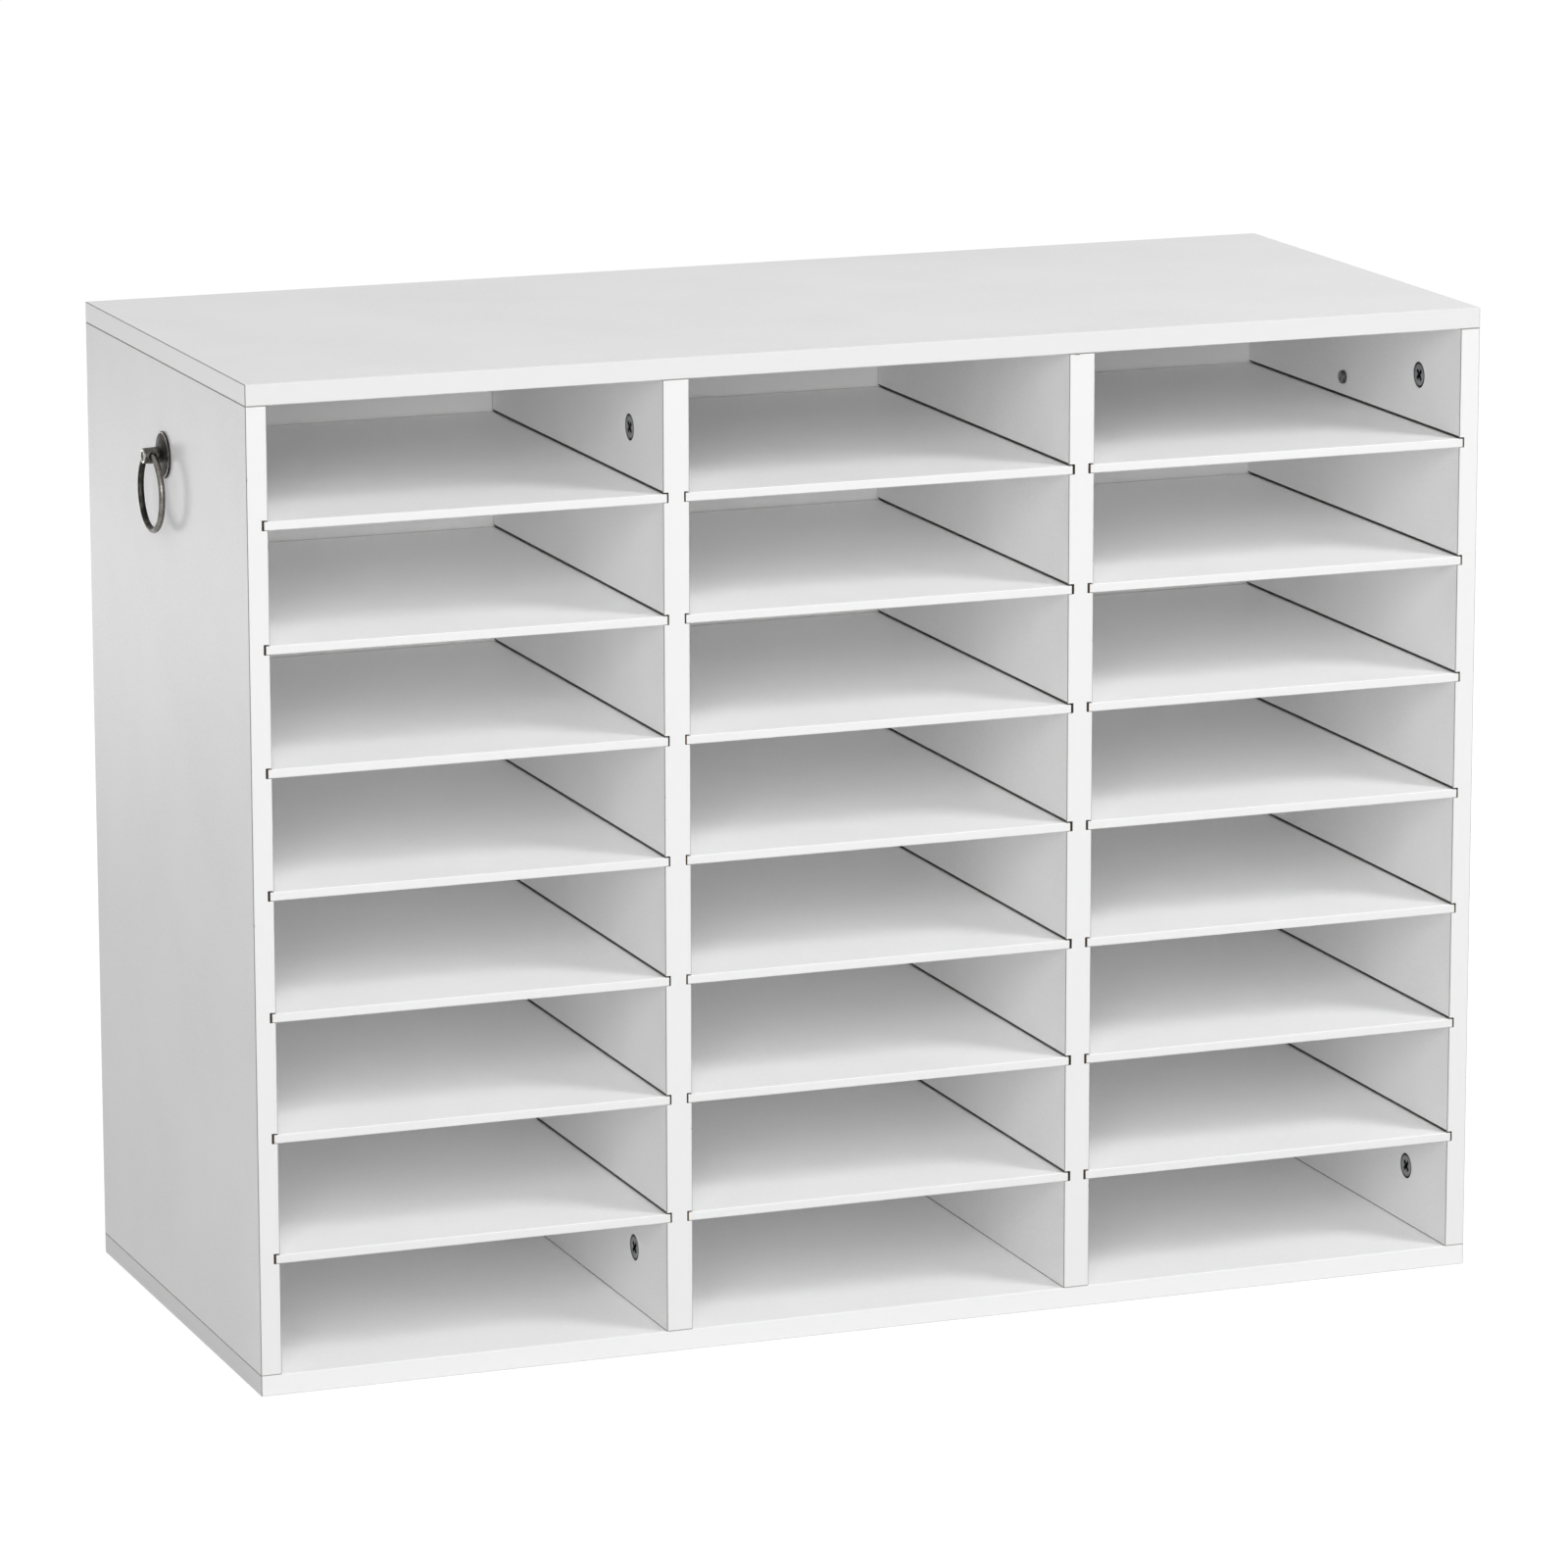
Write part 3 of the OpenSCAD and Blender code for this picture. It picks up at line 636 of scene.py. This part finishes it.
zinc_plate = "#B4B5B7"
zinc_plate_dull = "#8F9092"
scratch_pitch = 0.5 * MM
plate_blotch = 4 * MM
plate_rough = (0.22, 0.42)
scratch_deep = 0.03 * MM
blade_taper = 0.8
bolt_xs = [(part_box(upright)[0].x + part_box(upright)[1].x) / 2 for upright in uprights]
deck_faces = {"bottom_cam_bolts": floor_z, "top_cam_bolts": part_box("top_panel")[0].z}

# The bolt's radii and heights, in mm from the face of the panel that it is screwed in.
bolt_tip_r = 1.5
bolt_tip_h = -9
bolt_core_r = 2.4
bolt_core_h = -8
bolt_crest_r = 3
bolt_pitch = 1.6
collar_r = 3.5
collar_h = 3
neck_r = 2
bolt_head_r = 3
bolt_head_h = 30.8
bolt_top_h = 33.3
turned_ease = 0.2
top_ease = 0.3
bolt_section = [
    (0, bolt_tip_h), (bolt_tip_r, bolt_tip_h), (bolt_core_r, bolt_core_h), (bolt_core_r, 0),
    (collar_r - turned_ease, 0), (collar_r, turned_ease), (collar_r, collar_h - turned_ease),
    (collar_r - turned_ease, collar_h), (neck_r, collar_h), (neck_r, bolt_head_h),
    (bolt_head_r - turned_ease, bolt_head_h), (bolt_head_r, bolt_head_h + turned_ease),
    (bolt_head_r, bolt_top_h - top_ease), (bolt_head_r - top_ease, bolt_top_h), (0, bolt_top_h),
]


def lathe(section, steps):
    """A bmesh turned about Z from its half section, given as (radius, height) in mm."""
    bm = bmesh.new()
    verts = [bm.verts.new((r * MM, 0, h * MM)) for r, h in section]
    edges = [bm.edges.new(pair) for pair in zip(verts, verts[1:])]
    bmesh.ops.spin(bm, geom=verts + edges, cent=(0, 0, 0), axis=(0, 0, 1), dvec=(0, 0, 0),
                   angle=2 * math.pi, steps=steps, use_merge=True)
    bmesh.ops.remove_doubles(bm, verts=bm.verts, dist=same_place)
    bmesh.ops.recalc_face_normals(bm, faces=bm.faces)
    return bm


def wind_thread(bm, core_r, crest_r, pitch, low, high, steps=24):
    """Winds the ridge of a thread about Z, from low to high, all in mm. Its foot is 0.6 of
    the pitch wide and sunk 0.1 mm into the core."""
    foot_w = 0.6 * pitch
    foot_r = core_r - 0.1
    turns = (high - low - foot_w) / pitch
    rises = (0, foot_w / 2, foot_w)
    radii = (foot_r, crest_r, foot_r)
    verts = [bm.verts.new((r * MM, 0, (low + rise) * MM)) for r, rise in zip(radii, rises)]
    edges = [bm.edges.new((verts[i], verts[i - 1])) for i in range(3)]
    ridge = len(bm.faces)
    bmesh.ops.spin(bm, geom=verts + edges, cent=(0, 0, 0), axis=(0, 0, 1),
                   dvec=(0, 0, pitch * MM / steps), angle=2 * math.pi * turns,
                   steps=round(steps * turns))
    bmesh.ops.holes_fill(bm, edges=[e for e in bm.edges if e.is_boundary], sides=3)
    bm.faces.ensure_lookup_table()
    bmesh.ops.recalc_face_normals(bm, faces=bm.faces[ridge:])


def cross_cutter(across, width, deep, top, taper):
    """The shape of a screwdriver's cross tip, that cuts down from top along Z, in mm. Its
    blades narrow to taper of their length and to blade_taper of their width."""
    bm = bmesh.new()
    for turn in (0, math.pi / 2):
        blade = bmesh.ops.create_cube(bm, size=MM)["verts"]
        bmesh.ops.scale(bm, verts=blade, vec=(across, width, 2 * deep))
        tip = [v for v in blade if v.co.z < 0]
        bmesh.ops.scale(bm, verts=tip, vec=(taper, blade_taper, 1))
        bmesh.ops.rotate(bm, verts=blade, matrix=Matrix.Rotation(turn, 3, "Z"))
        bmesh.ops.translate(bm, verts=blade, vec=(0, 0, top * MM))
    return mesh_of("cross tip", bm)


def set_out(name, one, places):
    """A mesh with a copy of one at each place."""
    bm = bmesh.new()
    for place in places:
        start = len(bm.verts)
        bm.from_mesh(one)
        bm.verts.ensure_lookup_table()
        bmesh.ops.transform(bm, matrix=place, verts=bm.verts[start:])
    return mesh_of(name, bm)


def plated_steel(tree, shade_mask=None):
    """Bright zinc plate on turned steel, with the scratches of handling, drawn coarse enough
    to show. An optional mask, called with (tree, place), gives a socket, 1 where shade is painted."""
    place = add(tree, "TexCoord").outputs["Object"]
    marks = add(tree, "TexNoise", {"Vector": place, "Scale": 1 / scratch_pitch, "Detail": 5.0,
                                   "Distortion": 0.6})
    patches = add(tree, "TexNoise", {"Vector": place, "Scale": 1 / plate_blotch, "Detail": 2.0})
    colour = add(tree, "Mix", {"Factor": patches.outputs[0], "A": linear(zinc_plate),
                               "B": linear(zinc_plate_dull)}, data_type="RGBA")
    # With a mask, the oxide colour paints shade on the screw heads.
    if shade_mask:
        colour = add(tree, "Mix", {"Factor": shade_mask(tree, place), "A": colour.outputs["Result"],
                                   "B": linear(dark_oxide_and_shade)}, data_type="RGBA")
    rough = add(tree, "MapRange", {"Value": marks.outputs[0], "To Min": plate_rough[0],
                                   "To Max": plate_rough[1]})
    grain = add(tree, "Bump", {"Height": marks.outputs[0], "Strength": 0.2, "Distance": scratch_deep})
    return add(tree, "BsdfPrincipled", {"Base Color": colour.outputs["Result"], "Metallic": 1.0,
                                        "Roughness": rough.outputs[0], "Normal": grain.outputs[0]})


bolt_steel = finished("zinc-plated turned steel", plated_steel)
blank = mesh_of("bolt blank", lathe(bolt_section, steps=32))
bm = bmesh.new()
bm.from_mesh(carved(blank, cross_cutter(across=4, width=0.9, deep=1.6, top=bolt_top_h, taper=0.5)))
wind_thread(bm, bolt_core_r, bolt_crest_r, bolt_pitch, low=-8.4, high=-0.2)
cam_bolt = mesh_of("cam bolt", bm)

for bolts, deck_z in deck_faces.items():
    turned = Matrix.Rotation(0 if bolts.startswith("bottom") else math.pi, 4, "X")
    places = [Matrix.Translation((x, y, deck_z)) @ turned for x in bolt_xs for y in cam_ys]
    fit(bolts.replace("cam", "threaded_cam"), set_out(bolts, cam_bolt, places), bolt_steel,
        "carcass", bolts)

# The dowels: beech, fluted so that air and spare glue come out, with eased ends. They are
# glued in the ends of the uprights and line them up with the top and bottom panels.

beech_pale = "#DDBE93"
beech_dark = "#B98F60"
beech_grain = 0.5 * MM
grain_stretch = (1, 1, 0.06)
fibre_deep = 0.05 * MM
dowel_r = 3 * MM
dowel_l = 26 * MM
dowel_ease = 0.8 * MM
dowel_ys = (-70 * MM, 70 * MM)
flutes = 20
flute_deep = 0.18 * MM
dowel_rim_angle = math.radians(60)


def beech(tree):
    """Planed beech with its grain along Z and short dark rays."""
    place = add(tree, "TexCoord").outputs["Object"]
    along = add(tree, "VectorMath", {0: place, 1: grain_stretch}, operation="MULTIPLY")
    grain = add(tree, "TexNoise", {"Vector": along.outputs[0], "Scale": 1 / beech_grain,
                                   "Detail": 5.0})
    colour = add(tree, "Mix", {"Factor": grain.outputs[0], "A": linear(beech_dark),
                               "B": linear(beech_pale)}, data_type="RGBA")
    fibre = add(tree, "Bump", {"Height": grain.outputs[0], "Strength": 0.3, "Distance": fibre_deep})
    return add(tree, "BsdfPrincipled", {"Base Color": colour.outputs["Result"], "Roughness": 0.7,
                                        "Normal": fibre.outputs[0]})


# Every third line of the round stock is scaled in to make a flute.
bm = bmesh.new()
bmesh.ops.create_cone(bm, cap_ends=True, segments=3 * flutes, radius1=dowel_r, radius2=dowel_r,
                      depth=dowel_l, matrix=Matrix.Translation((0, 0, dowel_l / 2)))
line_angle = 2 * math.pi / (3 * flutes)
fluted = [v for v in bm.verts if round(math.atan2(v.co.y, v.co.x) / line_angle) % 3 == 0]
flute_share = 1 - flute_deep / dowel_r
bmesh.ops.scale(bm, verts=fluted, vec=(flute_share, flute_share, 1))
rims = [e for e in bm.edges if e.calc_face_angle(0) > dowel_rim_angle]
bmesh.ops.bevel(bm, geom=rims, offset=dowel_ease, offset_type="OFFSET", segments=1,
                profile=0.5, affect="EDGES", clamp_overlap=True, material=-1)
dowel = mesh_of("fluted dowel", bm)

dowel_wood = finished("planed beech", beech)
for dowels in ("bottom_dowels", "top_dowels"):
    base_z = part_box(dowels)[0].z
    places = [Matrix.Translation((x, y, base_z)) for x in bolt_xs for y in dowel_ys]
    fit(dowels.replace("dowels", "fluted_dowels"), set_out(dowels, dowel, places), dowel_wood,
        "carcass", dowels)

# The ring pulls: a cast pewter rose and post in one, with an antique patina that is worn
# bright on the rim's bead and the post's end. A screw from inside holds each to its side
# panel. The ring is bent from wire and hangs in a hole through the post.

pewter_patina = "#2B2A28"
pewter_worn = "#8C8883"
pewter_pits = 1.1 * MM
pewter_clouds = 5 * MM
pewter_rough = (0.5, 0.27)
cloud_range = (0.35, 0.7)
cloud_wear = (-0.12, 0.3)
pit_range = (0.35, 0.6)
pit_wear = 0.55
pit_deep = 0.12 * MM
pull_z = 506.125 * MM
ring_z = 485.167 * MM
panel_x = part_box("right_side_panel")[1].x
ring_out = 8 * MM
ring_r = 21.2 * MM
wire_r = 1.8 * MM
ring_hole_r = 2.34 * MM
ring_hole_l = 20 * MM
bead_r = 12.6 * MM
bead_worn_w = 0.42 * MM
tip_worn_h = (11.6 * MM, 12.5 * MM)
tip_worn_r = (2.3 * MM, 3.2 * MM)
post_worn_h = (4.5 * MM, 5.5 * MM)
post_wear = 0.35
outer_half_r = (ring_r - 0.4 * MM, ring_r + 1.5 * MM)
outer_half_lift = 0.85


def arc(r, h, radius, start, end, steps):
    """Points of a half section on an arc about (r, h), in mm and degrees."""
    angles = [math.radians(start + (end - start) * i / steps) for i in range(steps + 1)]
    return [(r + radius * math.cos(a), h + radius * math.sin(a)) for a in angles]


# The rose's radii and heights, in mm from its side panel. Its outline goes from the hole for
# the screw over the foot, the bead, the dome, the fillet and the post to the dimple.
screw_hole_r = 2
screw_hole_l = 5.1
rose_r = 13.2
rose_foot_r = 12.8
rose_foot_h = 0.35
bead_h = 1.05
bead_round = 0.55
dome_r = 29
dome_h = -24.8
fillet_r = 5.5
fillet_h = 4.55
fillet_round = 0.8
post_r = 4.4
post_wall_h = 12.2
post_l = 12.8
post_round = 0.5
dimple_round = 5.1
dimple_h = 17.2
rose_section = (
    [(0, screw_hole_l), (screw_hole_r, screw_hole_l), (screw_hole_r, 0), (rose_foot_r, 0),
     (rose_r, rose_foot_h)]
    + arc(rose_r - bead_round, bead_h, bead_round, 0, 125, 8)
    + arc(0, dome_h, dome_r, 66.4, 79.3, 12)
    + arc(fillet_r, fillet_h, fillet_round, 262, 180, 6)
    + [(post_r, post_wall_h)]
    + arc(post_r - post_round, post_l - post_round, post_round, 10, 90, 4)
    + arc(0, dimple_h, dimple_round, 300.5, 270, 6)
)


def antique_pewter(name, wear):
    """Cast pewter under a dark patina, with pits drawn coarse enough to show. wear(tree,
    place) is a socket, 1 where it is brightest: rubbed bright on the rose, and the outer
    half of the ring."""

    def surface(tree):
        place = add(tree, "TexCoord").outputs["Object"]
        pits = add(tree, "TexNoise", {"Vector": place, "Scale": 1 / pewter_pits, "Detail": 6.0,
                                      "Roughness": 0.65})
        clouds = add(tree, "TexNoise", {"Vector": place, "Scale": 1 / pewter_clouds, "Detail": 3.0})
        patchy = add(tree, "MapRange", {"Value": clouds.outputs[0], "From Min": cloud_range[0],
                                        "From Max": cloud_range[1], "To Min": cloud_wear[0],
                                        "To Max": cloud_wear[1]})
        worn_and_shaded = add(tree, "Math", {0: wear(tree, place), 1: patchy.outputs[0]}, operation="ADD",
                     use_clamp=True)
        speckle = add(tree, "MapRange", {"Value": pits.outputs[0], "From Min": pit_range[0],
                                         "From Max": pit_range[1], "To Min": pit_wear})
        worn = add(tree, "Math", {0: worn_and_shaded.outputs[0], 1: speckle.outputs[0]}, operation="MULTIPLY")
        colour = add(tree, "Mix", {"Factor": worn.outputs[0], "A": linear(pewter_patina),
                                   "B": linear(pewter_worn)}, data_type="RGBA")
        rough = add(tree, "MapRange", {"Value": worn.outputs[0], "To Min": pewter_rough[0],
                                       "To Max": pewter_rough[1]})
        cast = add(tree, "Bump", {"Height": pits.outputs[0], "Strength": 0.4, "Distance": pit_deep})
        return add(tree, "BsdfPrincipled", {"Base Color": colour.outputs["Result"], "Metallic": 1.0,
                                            "Roughness": rough.outputs[0], "Normal": cast.outputs[0]})

    return finished("antique pewter, " + name, surface)


def rose_wear(tree, place):
    """Worn on the bead of the rim and on the end of the post, and a little on its wall."""
    _, radius = off_axis(tree, place, 0, pull_z)
    bead = add(tree, "Math", {0: radius, 1: bead_r, 2: bead_worn_w}, operation="COMPARE")
    x = add(tree, "SeparateXYZ", {0: place}).outputs["X"]
    out = add(tree, "Math", {0: x}, operation="ABSOLUTE")
    height = add(tree, "Math", {0: out.outputs[0], 1: panel_x}, operation="SUBTRACT").outputs[0]
    tip = add(tree, "MapRange", {"Value": height, "From Min": tip_worn_h[0],
                                 "From Max": tip_worn_h[1]})
    off_dimple = add(tree, "MapRange", {"Value": radius, "From Min": tip_worn_r[0],
                                        "From Max": tip_worn_r[1]})
    end = add(tree, "Math", {0: tip.outputs[0], 1: off_dimple.outputs[0]}, operation="MULTIPLY")
    post = add(tree, "MapRange", {"Value": height, "From Min": post_worn_h[0],
                                  "From Max": post_worn_h[1], "To Max": post_wear})
    most = add(tree, "Math", {0: bead.outputs[0], 1: end.outputs[0]}, operation="MAXIMUM")
    return add(tree, "Math", {0: most.outputs[0], 1: post.outputs[0]}, operation="MAXIMUM").outputs[0]


def ring_outer_half(tree, place):
    """Brighter on the ring's outer half, and darker on its inner half."""
    _, radius = off_axis(tree, place, 0, ring_z)
    return add(tree, "MapRange", {"Value": radius, "From Min": outer_half_r[0],
                                  "From Max": outer_half_r[1], "To Max": outer_half_lift}).outputs[0]


def out_of_side(side):
    """The middle of a pull on the outer face of that side's panel, with Z pointing outwards."""
    return (Matrix.Translation((side * panel_x, 0, pull_z))
            @ Matrix.Rotation(side * math.pi / 2, 4, "Y"))


rose_pewter = antique_pewter("rose", rose_wear)
ring_pewter = antique_pewter("ring", ring_outer_half)
for hand, side in (("left", -1), ("right", 1)):
    ring_x = side * (panel_x + ring_out)
    bm = lathe(rose_section, steps=96)
    bmesh.ops.transform(bm, matrix=out_of_side(side), verts=bm.verts)
    cast_rose = mesh_of("cast rose", bm)
    bm = bmesh.new()
    bore = Matrix.Translation((ring_x, 0, pull_z)) @ Matrix.Rotation(math.pi / 2, 4, "X")
    bmesh.ops.create_cone(bm, cap_ends=True, segments=48, radius1=ring_hole_r, radius2=ring_hole_r,
                          depth=ring_hole_l, matrix=bore)
    fit(hand + "_cast_rose", carved(cast_rose, mesh_of("ring bore", bm)), rose_pewter, "carcass",
        hand + "_pull_rose")

    bm = bmesh.new()
    bmesh.ops.create_circle(bm, segments=24, radius=wire_r, matrix=Matrix.Translation((0, ring_r, 0)))
    bmesh.ops.spin(bm, geom=bm.verts[:] + bm.edges[:], cent=(0, 0, 0), axis=(1, 0, 0),
                   dvec=(0, 0, 0), angle=2 * math.pi, steps=128, use_merge=True)
    bmesh.ops.remove_doubles(bm, verts=bm.verts, dist=same_place)
    bmesh.ops.recalc_face_normals(bm, faces=bm.faces)
    bmesh.ops.translate(bm, verts=bm.verts, vec=(ring_x, 0, ring_z))
    fit(hand + "_wire_ring", mesh_of("wire ring", bm), ring_pewter, hand + "_pull_ring",
        hand + "_pull_ring")

# The pull screws: zinc-plated steel machine screws with a pan head and a cross recess.
# Each goes through its side panel from inside the carcass and bites in the post.

panel_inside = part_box("right_side_panel")[0].x
# Painted shade on the screw heads: a dark ring at the rim and dark in the recess.
recess_shade_depth = (2.5 * MM, 2.1 * MM)
recess_shade_r = 2.3 * MM
head_rim_shade_r = (2.8 * MM, 3.8 * MM)
head_rim_shade = (0.1, 0.75)

# The screw's radii and heights, in mm from the outer face of its side panel.
screw_tip_r = 1.3
screw_tip_h = 4.8
screw_core_r = 1.65
screw_core_h = 4.4
screw_crest_r = 2.0
screw_pitch = 0.7
head_r = 4
head_foot_h = -12
head_foot_ease = 0.15
head_top_h = -14.6
head_round = 1.4
screw_section = (
    [(0, screw_tip_h), (screw_tip_r, screw_tip_h), (screw_core_r, screw_core_h),
     (screw_core_r, head_foot_h), (head_r - head_foot_ease, head_foot_h),
     (head_r, head_foot_h - head_foot_ease)]
    + arc(head_r - head_round, head_top_h + head_round, head_round, 0, -90, 8)
    + [(0, head_top_h)]
)


def head_painted_shade(tree, place):
    """Painted shade round the rim of a pan head and in its recess."""
    x = add(tree, "SeparateXYZ", {0: place}).outputs["X"]
    out = add(tree, "Math", {0: x}, operation="ABSOLUTE")
    height = add(tree, "Math", {0: panel_inside, 1: out.outputs[0]}, operation="SUBTRACT").outputs[0]
    sunk = add(tree, "MapRange", {"Value": height, "From Min": recess_shade_depth[0],
                                  "From Max": recess_shade_depth[1]})
    _, radius = off_axis(tree, place, 0, pull_z)
    rim = add(tree, "MapRange", {"Value": radius, "From Min": head_rim_shade_r[0],
                                 "From Max": head_rim_shade_r[1], "To Min": head_rim_shade[0],
                                 "To Max": head_rim_shade[1]})
    inside = add(tree, "Math", {0: radius, 1: recess_shade_r}, operation="LESS_THAN")
    recess = add(tree, "Math", {0: sunk.outputs[0], 1: inside.outputs[0]}, operation="MULTIPLY")
    return add(tree, "Math", {0: rim.outputs[0], 1: recess.outputs[0]}, operation="MAXIMUM").outputs[0]


screw_steel = finished("zinc-plated steel of the pull screws",
                       lambda tree: plated_steel(tree, head_painted_shade))
for hand, side in (("left", -1), ("right", 1)):
    tip = cross_cutter(across=4.4, width=1.0, deep=1.5, top=-head_top_h, taper=0.4)
    tip.transform(Matrix.Rotation(math.pi, 4, "X"))
    bm = bmesh.new()
    bm.from_mesh(carved(mesh_of("screw blank", lathe(screw_section, steps=64)), tip))
    wind_thread(bm, screw_core_r, screw_crest_r, screw_pitch, low=-11.6, high=4.3)
    bmesh.ops.transform(bm, matrix=out_of_side(side), verts=bm.verts)
    fit(hand + "_pan_head_screw", mesh_of("pan head screw", bm), screw_steel, "carcass",
        hand + "_pull_screw")
